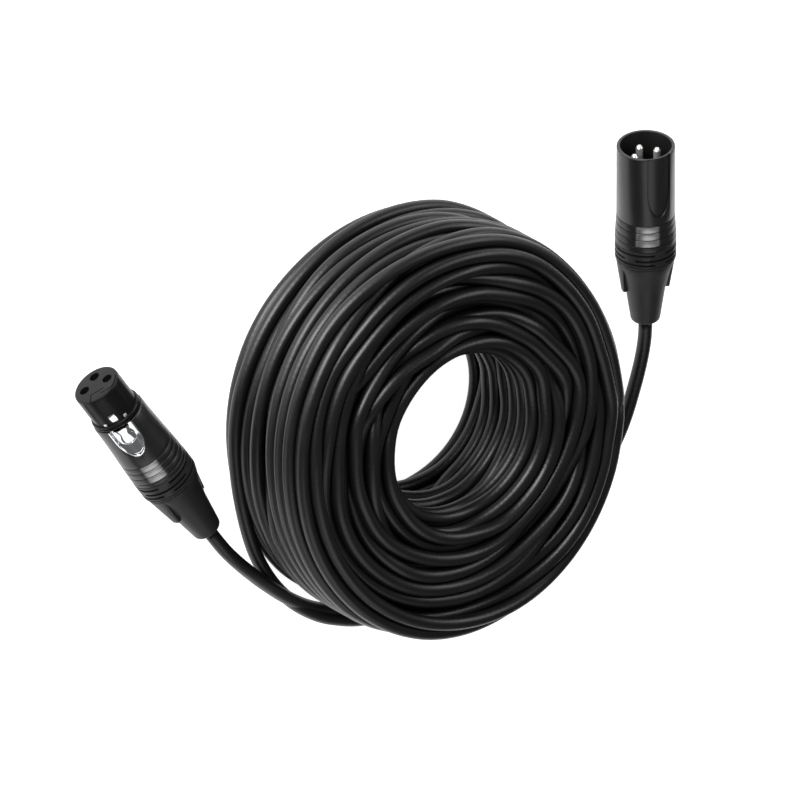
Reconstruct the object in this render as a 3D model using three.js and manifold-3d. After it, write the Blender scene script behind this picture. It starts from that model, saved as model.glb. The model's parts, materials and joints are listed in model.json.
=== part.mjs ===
// A balanced microphone cable, coiled for storage, with a three-pin plug on each end.
// Millimetres, +Z up. The coil and both plugs lie on z = 0, and the middle of the whole is at x = y = 0.
import * as THREE from 'three';
import { mergeVertices } from 'three/addons/utils/BufferGeometryUtils.js';
import Module from 'manifold-3d';

const wasm = await Module();
wasm.setup();

// ---------------------------------------------------------------- driving dimensions
const GAP = 0.3; // between pieces that touch
const CABLE_RADIUS = 2.3;
const CABLE_BORE = 2.65; // of the boot and the chuck round it
const ROUND_FACETS = 40;

const COIL_CENTRE = [-8.0, -3.1];
const COIL_INNER = 28.4;
const COIL_OUTER = 71.0;
const COIL_HEIGHT = 46.0;
const COIL_ROUND = 10.0;
const COIL_FACETS = 56;

// Each plug's own axis runs along its local +Z to the mouth, which is at z = 0. Its key points to local +Y.
const MALE_POSE = { mouth: [-106.6, -63.4, 15.5], yaw: 0, pitch: 7.5, roll: -7.6 };
const FEMALE_POSE = { mouth: [109.3, -52.6, 8.1], yaw: 28.1, pitch: -5.5, roll: -31.6 };

const MALE_SHELL = { length: 35.2, mouth: 9.5, flare: 10.0, flareStart: 25.5, flareEnd: 33.0, bore: 8.4 };
const FEMALE_SHELL = {
  front: 13.5, length: 39.2, nose: 9.1, flare: 9.9, flareStart: 22.0, flareEnd: 37.0, bore: 8.3,
};
const SHELL_NECK = 8.1; // the threaded neck that the bushing screws on
const NECK_LENGTH = 5.5;
const NECK_BORE = 6.8;

const CONTACT_CIRCLE = 4.2; // three contacts a quarter turn apart; the fourth quarter holds the key
const PIN_RADIUS = 1.2;
const PIN_TIP = 2.4; // how far the pins stand back from the mouth
const PIN_END = 28.4;
const MALE_INSERT = { front: 14.5, back: 25.0, radius: 8.1 };
const KEY_RECESS = { halfWidth: 4.3, straight: 12.0, length: 21.8, depth: 0.45 };

const NOSE_RADIUS = 8.0;
const NOSE_BACK = 30.0;
const SOCKET = { radius: 1.5, bore: 1.15, front: 1.0, back: 33.0, depth: 13.0 };
const COLLAR = { front: 11.6, back: 13.1, radius: 8.75, seat: 7.4 };

// Heights are from the plug's axis; the rest along it are distances behind the mouth.
const LATCH = {
  hinge: [6.2, 25.2], holeRadius: 0.6, pinRadius: 0.5, pinHalf: 3.9, front: 13.9, straight: 17.5, back: 25.9,
};
const LATCH_PLATE = { half: 4.0, bottom: 6.5, top: 7.3 };
const LATCH_BUTTON = { half: 3.0, bottom: 7.0, top: 8.9, straight: 17.6, round: 2.3 };
const LATCH_ARM = { half: 1.1, bottom: 6.2, top: 7.1, hookTop: 8.2, hookLength: 1.6, slope: 1.6 };
const LATCH_EARS = { half: 1.6, bottom: 5.5, top: 6.9, front: 24.4, back: 25.8 };
const LATCH_SPRING = { half: 1.2, foot: 5.3, crest: 5.8, front: 17.5, back: 23.6, thick: 0.25 };
const LATCH_WINDOW = { halfWidth: 1.4, front: 7.2, floor: 4.6 };
const LATCH_RECESS = { halfWidth: 4.5, back: 26.4, straight: 17.5 };
const LATCH_POCKET_FLOOR = 5.0;

const BUSHING = { radius: 10.0, length: 6.8, bore: 8.4, lip: 5.6 };
const BOOT = { front: 7.4, waist: 19.0, back: 31.3, frontRadius: 9.6, waistRadius: 6.5, backRadius: 4.75 };
const BOOT_SOCKET = { radius: 5.5, straight: 5.2, end: 9.0 }; // the hollow that presses on the chuck's tail
const WING = { length: 11.6, frontRadius: 9.5, backRadius: 7.9, halfWidth: 2.2, root: 5.9 };
const MALE_WINGS = 75; // degrees from the key to each wing, by how far the boot is screwed on
const FEMALE_WINGS = 135;
const CHUCK = { front: -1.0, back: 12.0, radius: 6.4, waist: 5.2, tail: 4.6, slot: 1.0, slotFront: 3.5 };
const TAIL_FRONT = -2.2; // the jacket's cut end inside the plug
const WIRE_RADIUS = 0.65;

// The leads' routes, from each boot's end to the coil's side, about the coil's centre.
const FEMALE_LEAD = [
  [84.1, 12.7, 14.9], [82.0, 16.6, 15.3], [79.0, 21.6, 15.35], [75.55, 26.3, 14.9], [71.7, 31.0, 13.9],
  [67.6, 35.6, 12.5], [63.3, 40.3, 10.9], [58.8, 44.9, 9.2], [54.2, 49.5, 7.6], [49.3, 54.0, 6.1],
  [44.0, 58.4, 4.8], [38.3, 62.3, 3.7], [32.6, 65.3, 3.0], [28.4, 67.2, 2.6], [24.1, 68.7, 2.4],
];
const MALE_LEAD = [
  [-98.6, 5.95, 6.78], [-98.6, 10.4, 6.2], [-98.0, 15.8, 5.5], [-96.8, 21.4, 4.8], [-95.2, 27.0, 4.1],
  [-93.2, 32.9, 3.4], [-90.8, 38.8, 2.9], [-87.9, 44.4, 2.5], [-84.2, 49.5, 2.4], [-79.8, 54.0, 2.4],
  [-74.6, 57.9, 2.4], [-68.6, 61.2, 2.4], [-62.0, 64.2, 2.4], [-54.8, 67.0, 2.4], [-47.2, 69.5, 2.4],
  [-39.4, 71.7, 2.4], [-31.4, 73.4, 2.4], [-23.4, 74.5, 2.4], [-15.6, 74.9, 2.4], [-8.4, 74.2, 2.4],
  [-1.5, 72.75, 2.4],
];
const LEAD_FACETS = 10;
const LEAD_STEP = 9;

// ---------------------------------------------------------------- materials
const finish = (color, roughness, metalness) => new THREE.MeshStandardMaterial({ color, roughness, metalness });
const jacket = () => finish(0x141414, 0.55, 0.0);
const blackMetal = () => finish(0x1b1c1e, 0.32, 0.6);
const blackPlastic = () => finish(0x101011, 0.35, 0.0);
const softPlastic = () => finish(0x1a1a1b, 0.6, 0.0);
const chrome = () => finish(0xd8dade, 0.12, 1.0);
const silver = () => finish(0xc9c9c6, 0.2, 1.0);
const copper = (color) => finish(color, 0.5, 0.0);

// ---------------------------------------------------------------- geometry helpers
const arc = (cx, cy, radius, from, to, steps) => Array.from({ length: steps + 1 }, (_, i) => {
  const a = THREE.MathUtils.degToRad(from + ((to - from) * i) / steps);
  return [cx + radius * Math.cos(a), cy + radius * Math.sin(a)];
});

// A solid of revolution about Z from [radius, z] points, listed with z rising along the outside.
function turned(outline, facets = ROUND_FACETS) {
  const points = outline.map(([r, z]) => new THREE.Vector2(r, z));
  if (outline[0][0] > 0) points.push(points[0].clone());
  return new THREE.LatheGeometry(points, facets).rotateX(Math.PI / 2);
}

// The same from [radius, distance behind the mouth] points, listed from back to front along the outside.
const behind = (outline, facets) => turned(outline.map(([r, s]) => [r, -s]), facets);

function toSolid(geometry) {
  const plain = geometry.clone();
  plain.deleteAttribute('normal');
  plain.deleteAttribute('uv');
  const merged = mergeVertices(plain, 1e-4);
  return new wasm.Manifold(new wasm.Mesh({
    numProp: 3,
    vertProperties: new Float32Array(merged.attributes.position.array),
    triVerts: new Uint32Array(merged.index.array),
  }));
}

function toGeometry(solid) {
  const mesh = solid.getMesh();
  const geometry = new THREE.BufferGeometry();
  geometry.setAttribute('position', new THREE.BufferAttribute(mesh.vertProperties, 3));
  geometry.setIndex(new THREE.BufferAttribute(mesh.triVerts, 1));
  geometry.computeVertexNormals();
  return geometry;
}

const cut = (geometry, ...tools) => toGeometry(
  tools.reduce((solid, tool) => solid.subtract(toSolid(tool)), toSolid(geometry)),
);
const join = (geometry, ...more) => toGeometry(
  more.reduce((solid, other) => solid.add(toSolid(other)), toSolid(geometry)),
);
const common = (a, b) => toGeometry(toSolid(a).intersect(toSolid(b)));

// A block between two corners.
function block(x0, x1, y0, y1, z0, z1) {
  const box = new THREE.BoxGeometry(x1 - x0, y1 - y0, z1 - z0);
  return box.translate((x0 + x1) / 2, (y0 + y1) / 2, (z0 + z1) / 2);
}

// A plate whose outline is drawn in the local X and Z plane and which fills y0 to y1.
function plate(outline, y0, y1) {
  const shape = new THREE.Shape(outline.map(([x, z]) => new THREE.Vector2(x, -z)));
  const flat = new THREE.ExtrudeGeometry(shape, { depth: y1 - y0, bevelEnabled: false });
  return flat.rotateX(-Math.PI / 2).translate(0, y0, 0);
}

// A bar whose outline is drawn in the local Y and Z plane and which fills -half to half along X.
function bar(outline, half) {
  const shape = new THREE.Shape(outline.map(([y, z]) => new THREE.Vector2(-z, y)));
  const flat = new THREE.ExtrudeGeometry(shape, { depth: 2 * half, bevelEnabled: false });
  return flat.rotateY(Math.PI / 2).translate(-half, 0, 0);
}

function rod(radius, z0, z1, facets) {
  return turned([[0, z0], [radius, z0], [radius, z1], [0, z1]], facets);
}

function tube(points, radius, facets, steps) {
  const path = new THREE.CatmullRomCurve3(points.map((p) => new THREE.Vector3(...p)), false, 'centripetal');
  const section = new THREE.Shape(arc(0, 0, radius, 0, 360 - 360 / facets, facets - 1)
    .map(([x, y]) => new THREE.Vector2(x, y)));
  return new THREE.ExtrudeGeometry(section, { steps, bevelEnabled: false, extrudePath: path });
}

const named = (name, geometry, material) => {
  const mesh = new THREE.Mesh(geometry, material);
  mesh.name = name;
  return mesh;
};

// The three contacts' places: left, bottom and right of the axis, with the key at the top.
const contactPlaces = [180, 270, 0].map((degrees) => {
  const a = THREE.MathUtils.degToRad(degrees);
  return [CONTACT_CIRCLE * Math.cos(a), CONTACT_CIRCLE * Math.sin(a)];
});

// ---------------------------------------------------------------- the cable
function coil() {
  const r = COIL_ROUND;
  const outline = [
    ...arc(COIL_INNER + r, r, r, 180, 270, 3),
    ...arc(COIL_OUTER - r, r, r, 270, 360, 3),
    ...arc(COIL_OUTER - r, COIL_HEIGHT - r, r, 0, 90, 3),
    ...arc(COIL_INNER + r, COIL_HEIGHT - r, r, 90, 180, 3),
  ];
  return named('cable_coil', turned(outline, COIL_FACETS), jacket());
}

function lead(name, route) {
  const stretch = (p, q) => Math.hypot(...p.map((v, k) => v - q[k]));
  const length = route.slice(1).reduce((sum, p, i) => sum + stretch(p, route[i]), 0);
  const steps = Math.round(length / LEAD_STEP);
  return named(name, tube(route, CABLE_RADIUS, LEAD_FACETS, steps), jacket());
}

// ---------------------------------------------------------------- what both plugs share, behind the shell
// Distances here are behind the shell's visible rear end.
const bushing = () => {
  const b = BUSHING;
  return behind([
    [b.lip, GAP + b.length], [b.radius, GAP + b.length], [b.radius, GAP], [b.bore, GAP],
    [b.bore, NECK_LENGTH + GAP], [b.lip, NECK_LENGTH + GAP + 0.4],
  ]);
};

function boot() {
  const b = BOOT;
  const s = BOOT_SOCKET;
  const body = behind([
    [CABLE_BORE, b.back], [b.backRadius - 0.9, b.back], [b.backRadius, b.back - 1.2],
    [b.waistRadius, b.waist], [b.frontRadius, b.front], [s.radius, b.front],
    [s.radius, b.front + s.straight], [CABLE_BORE, b.front + s.end],
  ]);
  const w = WING;
  const wing = bar([
    [w.root + 1, -b.front], [w.frontRadius, -b.front], [w.backRadius, -b.front - w.length],
    [w.root, -b.front - w.length],
  ], w.halfWidth);
  return join(body, wing, wing.clone().rotateZ(Math.PI));
}

function chuck() {
  const c = CHUCK;
  const body = behind([
    [CABLE_BORE, c.back], [c.tail, c.back], [c.waist, c.back - 2.5], [c.waist, NECK_LENGTH],
    [c.radius, NECK_LENGTH - 1.5], [c.radius, c.front], [CABLE_BORE, c.front],
  ], 32);
  const slot = block(-8, 8, -c.slot / 2, c.slot / 2, -c.back - 1, -c.slotFront);
  return cut(body, slot, slot.clone().rotateZ(Math.PI / 2));
}

const cableTail = () => rod(CABLE_RADIUS, -BOOT.back, -TAIL_FRONT, 16);

function wires(prefix, shellLength, contactEnd, colours) {
  const start = -(shellLength + TAIL_FRONT) + GAP;
  const end = -contactEnd - GAP;
  return contactPlaces.map(([x, y], i) => {
    const at = (part, along) => [x * part, y * part, start + (end - start) * along];
    const route = [at(0.34, 0), at(0.38, 0.25), at(0.92, 0.75), at(1, 1)];
    const name = ['signal_wire_2', 'signal_wire_3', 'screen_wire_1'][i];
    return named(`${prefix}_${name}`, tube(route, WIRE_RADIUS, 8, 5), copper(colours[i]));
  });
}

function rear(prefix, shellLength, wings) {
  const group = new THREE.Group();
  const screwed = new THREE.Group();
  screwed.add(named(`${prefix}_bushing`, bushing(), softPlastic()), named(`${prefix}_boot`, boot(), softPlastic()));
  screwed.rotation.z = THREE.MathUtils.degToRad(wings);
  group.add(screwed, named(`${prefix}_chuck`, chuck(), blackPlastic()),
    named(`${prefix}_cable_end`, cableTail(), jacket()));
  group.position.z = -shellLength;
  return group;
}

// ---------------------------------------------------------------- male plug
function maleShell() {
  const s = MALE_SHELL;
  const neck = s.length + NECK_LENGTH;
  const body = behind([
    [NECK_BORE, neck], [SHELL_NECK, neck], [SHELL_NECK, s.length], [s.flare, s.length], [s.flare, s.flareEnd],
    [s.mouth + 0.2, s.flareStart + 3.5], [s.mouth, s.flareStart], [s.mouth, 0], [s.bore, 0],
    [s.bore, s.length - 2.2], [NECK_BORE, s.length - 1.2],
  ]);
  const k = KEY_RECESS;
  const depth = k.length - k.straight;
  const bottom = arc(0, 0, 1, 0, 180, 12).map(([x, y]) => [x * k.halfWidth, -k.straight - y * depth]);
  const tool = plate([[k.halfWidth, 1], ...bottom, [-k.halfWidth, 1]], 7, 12);
  const ring = turned([[s.mouth - k.depth, -30], [12, -30], [12, 1], [s.mouth - k.depth, 1]]);
  return cut(body, common(tool, ring));
}

function maleInsert() {
  const m = MALE_INSERT;
  const disc = rod(m.radius, -m.back, -m.front, 32);
  const hole = rod(PIN_RADIUS + GAP, -m.back - 1, -m.front + 1, 12);
  const holes = contactPlaces.map(([x, y]) => hole.clone().translate(x, y, 0));
  const springSeat = block(-1.9, 1.9, m.radius - 1.3, m.radius + 1, -m.back - 1, -m.front - 2);
  return cut(disc, ...holes, springSeat);
}

function pin() {
  const shoulder = MALE_INSERT.back + 0.4;
  return behind([
    [0, PIN_END - 2.2], [0.75, PIN_END - 2.2], [0.75, PIN_END], [1.15, PIN_END], [1.15, shoulder],
    [PIN_RADIUS, shoulder], [PIN_RADIUS, PIN_TIP + 0.9], [0.85, PIN_TIP + 0.25], [0, PIN_TIP],
  ], 14);
}

function malePlug() {
  const plug = new THREE.Group();
  plug.add(named('male_shell', maleShell(), blackMetal()), named('male_insert', maleInsert(), blackPlastic()));
  contactPlaces.forEach(([x, y], i) => {
    const contact = named(`male_pin_${[2, 3, 1][i]}`, pin(), silver());
    contact.position.set(x, y, 0);
    plug.add(contact);
  });
  const m = MALE_INSERT;
  plug.add(named('male_ground_spring', groundSpring(m.radius - 1, m.front + 2.6, m.back), silver()));
  plug.add(...wires('male', MALE_SHELL.length, PIN_END, [0xb02020, 0xd8d8d8, 0xb87333]));
  plug.add(rear('male', MALE_SHELL.length, MALE_WINGS));
  return plug;
}

// A strip that lies in the insert's side and joins the shell to the screen.
function groundSpring(y, front, back) {
  return bar([[y, -back], [y, -front], [y + 0.5, -front], [y + 0.75, -(front + back) / 2], [y + 0.5, -back]], 1.5);
}

// ---------------------------------------------------------------- female plug
// The insert carries the sockets and is the plug's nose.
function femaleInsert() {
  const c = COLLAR;
  const body = behind([
    [0, NOSE_BACK], [NOSE_RADIUS, NOSE_BACK], [NOSE_RADIUS, c.back + GAP], [c.seat, c.back + GAP],
    [c.seat, c.front - GAP], [NOSE_RADIUS, c.front - GAP], [NOSE_RADIUS, 0.7], [NOSE_RADIUS - 0.7, 0], [0, 0],
  ]);
  const hole = rod(SOCKET.radius + GAP, -NOSE_BACK - 1, 1, 12);
  const holes = contactPlaces.map(([x, y]) => hole.clone().translate(x, y, 0));
  const w = LATCH_WINDOW;
  const slot = block(-w.halfWidth, w.halfWidth, w.floor, 9, -NOSE_BACK - 1, -w.front);
  const half = LATCH_RECESS.halfWidth;
  const pocket = block(-half, half, LATCH_POCKET_FLOOR, 9, -NOSE_BACK - 1, -c.back - GAP);
  const springSeat = block(-2.2, 2.2, -9, -NOSE_RADIUS + 1.3, -NOSE_BACK - 1, -c.back - 5);
  return cut(body, ...holes, slot, pocket, springSeat);
}

function socket() {
  const s = SOCKET;
  return behind([
    [0, s.back - 2.4], [1.0, s.back - 2.4], [1.0, s.back], [s.radius, s.back],
    [s.radius, s.front], [s.bore, s.front], [s.bore, s.front + s.depth], [0, s.front + s.depth],
  ], 14);
}

function femaleShell() {
  const s = FEMALE_SHELL;
  const neck = s.length + NECK_LENGTH;
  const body = behind([
    [NECK_BORE, neck], [SHELL_NECK, neck], [SHELL_NECK, s.length], [s.flare, s.length], [s.flare, s.flareEnd],
    [s.nose + 0.25, s.flareStart + 5], [s.nose, s.flareStart], [s.nose, s.front + 0.4], [s.nose - 0.4, s.front],
    [s.bore, s.front], [s.bore, s.length - 2.2], [NECK_BORE, s.length - 1.2],
  ]);
  const r = LATCH_RECESS;
  const depth = r.back - r.straight;
  const end = arc(0, 0, 1, 0, 180, 12).map(([x, y]) => [x * r.halfWidth, -r.straight - y * depth]);
  const open = -s.front + 2;
  return cut(body, plate([[r.halfWidth, open], ...end, [-r.halfWidth, open]], LATCH_POCKET_FLOOR, 12));
}

// The push lever: an arm with a hook in the nose's window, and a plate with a thumb button in the recess.
function latch() {
  const l = LATCH;
  const p = LATCH_PLATE;
  const depth = l.back - l.straight;
  const end = arc(0, 0, 1, 0, 180, 10).map(([x, y]) => [x * p.half, -l.straight - y * depth]);
  const base = plate([[p.half, -l.front], ...end, [-p.half, -l.front]], p.bottom, p.top);
  const b = LATCH_BUTTON;
  const head = arc(0, 0, b.round, 0, 180, 8).map(([x, y]) => [x, -b.straight - y]);
  const button = plate([[b.half, -l.front], ...head, [-b.half, -l.front]], b.bottom, b.top);
  const e = LATCH_EARS;
  const ears = bar([[e.bottom, -e.front], [e.top, -e.front], [e.top, -e.back], [e.bottom, -e.back]], e.half);
  return cut(join(base, latchArm(), button, ears), acrossHinge(l.holeRadius, p.half));
}

function latchArm() {
  const a = LATCH_ARM;
  const root = LATCH.front + 2;
  const tip = LATCH_WINDOW.front + 0.4;
  const crest = tip + a.hookLength;
  return bar([
    [a.bottom, -root], [a.bottom, -tip], [a.hookTop, -tip], [a.hookTop, -crest], [a.top, -crest - a.slope],
    [a.top, -root],
  ], a.half);
}

// A rod along the lever's hinge.
function acrossHinge(radius, half) {
  const [height, distance] = LATCH.hinge;
  return rod(radius, -half, half, 12).rotateY(Math.PI / 2).translate(0, height, -distance);
}

// A leaf that stands on the insert and holds the lever up.
function latchSpring() {
  const f = LATCH_SPRING;
  return bar([
    [f.foot, -f.back], [f.foot, -f.back + 0.8], [f.crest - f.thick, -f.front], [f.crest, -f.front],
    [f.crest - 0.15, -f.back + 2.6], [f.foot + 0.3, -f.back],
  ], f.half);
}

function femalePlug() {
  const plug = new THREE.Group();
  const c = COLLAR;
  const bore = c.seat + GAP;
  const collar = behind([[bore, c.back], [c.radius, c.back], [c.radius, c.front], [bore, c.front]]);
  plug.add(named('female_insert', femaleInsert(), blackPlastic()));
  plug.add(named('female_shell', femaleShell(), blackMetal()));
  plug.add(named('female_collar_ring', collar, blackPlastic()));
  contactPlaces.forEach(([x, y], i) => {
    const contact = named(`female_socket_${[1, 3, 2][i]}`, socket(), silver());
    contact.position.set(x, y, 0);
    plug.add(contact);
  });
  const spring = groundSpring(NOSE_RADIUS - 1, c.back + 5.6, NOSE_BACK).rotateZ(Math.PI);
  plug.add(named('female_ground_spring', spring, silver()));
  const latchPin = acrossHinge(LATCH.pinRadius, LATCH.pinHalf);
  plug.add(named('female_latch', latch(), chrome()), named('female_latch_pin', latchPin, silver()));
  plug.add(named('female_latch_spring', latchSpring(), silver()));
  plug.add(...wires('female', FEMALE_SHELL.length, SOCKET.back, [0xb87333, 0xd8d8d8, 0xb02020]));
  plug.add(rear('female', FEMALE_SHELL.length, FEMALE_WINGS));
  return plug;
}

// ---------------------------------------------------------------- assembly
// Turns a plug about its own axis, tips its mouth up by pitch from lying flat towards -Y, then swings it round Z.
function posed(plug, { mouth, yaw, pitch, roll }) {
  plug.rotation.z = THREE.MathUtils.degToRad(roll);
  const tipped = new THREE.Group().add(plug);
  tipped.rotation.x = THREE.MathUtils.degToRad(90 - pitch);
  const swung = new THREE.Group().add(tipped);
  swung.rotation.z = THREE.MathUtils.degToRad(yaw);
  swung.position.set(...mouth);
  return swung;
}

const cable = new THREE.Group();
cable.add(coil(), lead('lead_to_female', FEMALE_LEAD), lead('lead_to_male', MALE_LEAD));
cable.position.set(...COIL_CENTRE, 0);

const object = new THREE.Group();
object.add(cable, posed(malePlug(), MALE_POSE), posed(femalePlug(), FEMALE_POSE));

export default object;
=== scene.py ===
"""A coiled microphone cable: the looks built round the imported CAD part.

The cable's route and the plugs are worked out in millimetres; materials, lights and the camera are in metres.
"""
import json
import math

import bmesh
import bpy
import numpy as np
from mathutils import Matrix, Vector


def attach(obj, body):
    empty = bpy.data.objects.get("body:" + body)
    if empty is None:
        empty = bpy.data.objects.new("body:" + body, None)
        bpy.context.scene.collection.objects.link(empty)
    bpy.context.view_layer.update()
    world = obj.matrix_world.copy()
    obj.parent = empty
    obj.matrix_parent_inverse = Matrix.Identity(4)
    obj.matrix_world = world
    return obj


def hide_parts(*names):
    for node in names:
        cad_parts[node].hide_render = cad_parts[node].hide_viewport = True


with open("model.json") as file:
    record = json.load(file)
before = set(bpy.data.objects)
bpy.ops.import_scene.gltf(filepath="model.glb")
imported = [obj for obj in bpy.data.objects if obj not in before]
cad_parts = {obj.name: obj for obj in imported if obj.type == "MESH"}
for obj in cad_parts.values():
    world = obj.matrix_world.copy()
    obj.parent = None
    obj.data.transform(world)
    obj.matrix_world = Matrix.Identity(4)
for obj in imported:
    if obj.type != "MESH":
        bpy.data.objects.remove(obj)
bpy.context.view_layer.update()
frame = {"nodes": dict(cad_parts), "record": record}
MM = 0.001

# ---------------------------------------------------------------- camera
COIL_CENTRE = (-8.0, -3.1)  # mm
COIL_HEIGHT = 46.0
VIEW_AXIS = Vector((0.499, -0.451, 0.740)).normalized()  # from the object to the camera
VIEW_UP = Vector((-0.326, -0.889, -0.322)).normalized()
VIEW_AIM_OFFSET = (-9.68, 5.65)  # mm from the coil's middle, to the camera's right and up
VIEW_DISTANCE = 8.0
LENS = 1116.0


def camera():
    right = VIEW_UP.cross(VIEW_AXIS).normalized()
    up = VIEW_AXIS.cross(right).normalized()
    middle = Vector((COIL_CENTRE[0], COIL_CENTRE[1], COIL_HEIGHT / 2))
    aim = (middle + right * VIEW_AIM_OFFSET[0] + up * VIEW_AIM_OFFSET[1]) * MM
    data = bpy.data.cameras.new("camera")
    data.lens = LENS
    data.sensor_width = 36.0
    data.clip_start = 0.05
    data.clip_end = 40.0
    cam = bpy.data.objects.new("camera", data)
    turn = Matrix((right, up, VIEW_AXIS)).transposed().to_4x4()
    cam.matrix_world = Matrix.Translation(aim + VIEW_AXIS * VIEW_DISTANCE) @ turn
    bpy.context.collection.objects.link(cam)
    bpy.context.scene.camera = cam
    return right, up


VIEW_RIGHT, VIEW_TOP = camera()

# ---------------------------------------------------------------- the cable's route, mm about the coil's centre
CABLE = 4.6  # the cable's diameter
COIL_OUTER, COIL_OUTER_SQUASH, COIL_SQUASH_ANGLE = 69.4, 0.046, 19.0  # not quite round: shorter along that angle
COIL_INNER, COIL_INNER_SHIFT, COIL_SHIFT_ANGLE = 27.2, 2.6, 175.0  # the hole stands a little to one side
COIL_TOP, COIL_ROUND = 45.3, 8.5  # height, and the radius of the section's corners
COIL_OFF_CENTRE = (1.6, 0.4)
LOOPS = 78
SECTION_COLUMNS, SECTION_ROWS = 8, 10  # the strands' places across the section
SLICES = 72  # places round a turn at which the strands are settled against each other
ENTER, LEAVE = 72.5, 92.5  # degrees round the coil
WANDER, WANDER_WAVE = 3.2, 26  # mm that a strand strays from its slot, and over how many slices
SWAP = 0.22  # share of a turn over which a strand moves to its next slot
TIGHTEST = 16.0  # the smallest radius of a bend across the bundle
LEAD_IN = 20  # slices over which each lead tucks into the bundle
CLIMB = 54  # slices over which a lead's turn may climb from the floor to the top of the coil
HOLD = 3  # slices over which each end of the wound part is drawn to the end of its lead
FLOOR_GAP = 0.05
ROUNDS = 240  # of settling
PUSH_WIDTHS = ((0.5, 9), (0.85, 5), (1.0, 3))  # up to a share of the rounds, the slices a push is spread over
PUSH_SPREAD, PUSH_OWN = 0.55, 0.12  # share of the spread-out push and of a slice's own push in a round
SMOOTH_UNTIL, SMOOTHING = 0.9, 0.25
UNKINK, UNKINK_TIMES = 0.7, 4
HOLD_PULL = 0.5
RING_STEP, RING_SIDES = 2.8, 16  # of the cable's surface
SEED = 7
FEMALE_LEAD = [
    (84.1, 12.7, 14.9), (82.0, 16.6, 15.3), (79.0, 21.6, 15.35), (75.55, 26.3, 14.9), (71.7, 31.0, 13.9),
    (67.6, 35.6, 12.5), (63.3, 40.3, 10.9), (58.8, 44.9, 9.2), (54.2, 49.5, 7.6), (49.3, 54.0, 6.1),
    (44.0, 58.4, 4.8), (38.3, 62.3, 3.7), (32.6, 65.3, 3.0), (28.4, 67.2, 2.6), (24.1, 68.7, 2.4),
]
MALE_LEAD = [
    (-98.6, 5.95, 6.78), (-98.6, 10.4, 6.2), (-98.0, 15.8, 5.5), (-96.8, 21.4, 4.8), (-95.2, 27.0, 4.1),
    (-93.2, 32.9, 3.4), (-90.8, 38.8, 2.9), (-87.9, 44.4, 2.5), (-84.2, 49.5, 2.4), (-79.8, 54.0, 2.4),
    (-74.6, 57.9, 2.4), (-68.6, 61.2, 2.4), (-62.0, 64.2, 2.4), (-54.8, 67.0, 2.4), (-47.2, 69.5, 2.4),
    (-39.4, 71.7, 2.4), (-31.4, 73.4, 2.4), (-23.4, 74.5, 2.4), (-15.6, 74.9, 2.4), (-8.4, 74.2, 2.4),
    (-1.5, 72.75, 2.4),
]


def eased(t):
    """0 to 1 with a soft start and end."""
    t = np.clip(t, 0, 1)
    return t * t * (3 - 2 * t)


def slice_angles(count):
    return np.radians(ENTER + np.arange(count) * 360.0 / SLICES)


def wall_radii(count):
    """Inner and outer radius of the bundle at each slice along the strand."""
    angle = slice_angles(count)
    outer = COIL_OUTER * (1 - COIL_OUTER_SQUASH * np.cos(2 * (angle - math.radians(COIL_SQUASH_ANGLE))))
    inner = COIL_INNER + COIL_INNER_SHIFT * np.cos(angle - math.radians(COIL_SHIFT_ANGLE))
    from_start = np.arange(count)
    for slices, (x, y, _) in ((from_start, FEMALE_LEAD[-1]), (from_start[::-1], MALE_LEAD[-1])):
        reach = math.hypot(x - COIL_OFF_CENTRE[0], y - COIL_OFF_CENTRE[1]) + COIL_ROUND
        outer = outer + (1 - eased(slices / LEAD_IN)) * (reach - outer)
    return inner, outer


def height_limit(count):
    """How high a strand's middle may lie at each slice: the leads stay low until they are tucked in."""
    from_start = np.arange(count)
    nearest = np.minimum(from_start, from_start[::-1])
    low = max(FEMALE_LEAD[-1][2], MALE_LEAD[-1][2]) + 2 * FLOOR_GAP
    return low + (COIL_TOP - low) * eased(nearest / CLIMB)


def packed_slots():
    """Places of the strands across the section, as fractions of its width and height: a path from the outer bottom
    corner inwards and back, so that each turn lies beside the one before."""
    columns = []
    for i, x in enumerate(np.linspace(0.02, 0.98, SECTION_COLUMNS)):
        shift = 0.045 if i % 2 else 0.0
        columns.append([(x, y) for y in np.linspace(0.02 + shift, 0.935 + shift, SECTION_ROWS)])
    path = [columns[i][0] for i in range(SECTION_COLUMNS - 1, -1, -1)]
    for i in range(SECTION_COLUMNS):
        rest = columns[i][1:]
        path += rest if i % 2 == 0 else rest[::-1]
    return np.array(path)


def smooth_noise(rng, count, wave, size):
    """Smooth random numbers along the strand; wave is their length in slices."""
    knots = rng.normal(0, size, int(count / wave) + 4)
    x = np.arange(count) / wave
    i = x.astype(int)
    f = eased(x - i)
    return knots[i] * (1 - f) + knots[i + 1] * f


def first_guess(rng, count):
    """Each strand's radius and height at each slice, before the strands are settled."""
    slots = packed_slots()
    turn = np.arange(count) / SLICES
    place = np.zeros((count, 2))
    for t in range(count):
        k = int(turn[t])
        phase = turn[t] - k
        moved = phase - (1 - (k + 0.5) / LOOPS)
        step = eased(moved / SWAP + 0.5)
        a = slots[min(k, len(slots) - 1)]
        b = slots[min(k + 1, len(slots) - 1)]
        place[t] = a * (1 - step) + b * step
    inner, outer = wall_radii(count)
    half = CABLE / 2
    place[:, 0] = inner + half + place[:, 0] * (outer - inner - CABLE)
    place[:, 1] = half + place[:, 1] * (COIL_TOP - CABLE)
    place[:, 0] += smooth_noise(rng, count, WANDER_WAVE, WANDER)
    place[:, 1] += smooth_noise(rng, count, WANDER_WAVE, WANDER)
    return place


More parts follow.
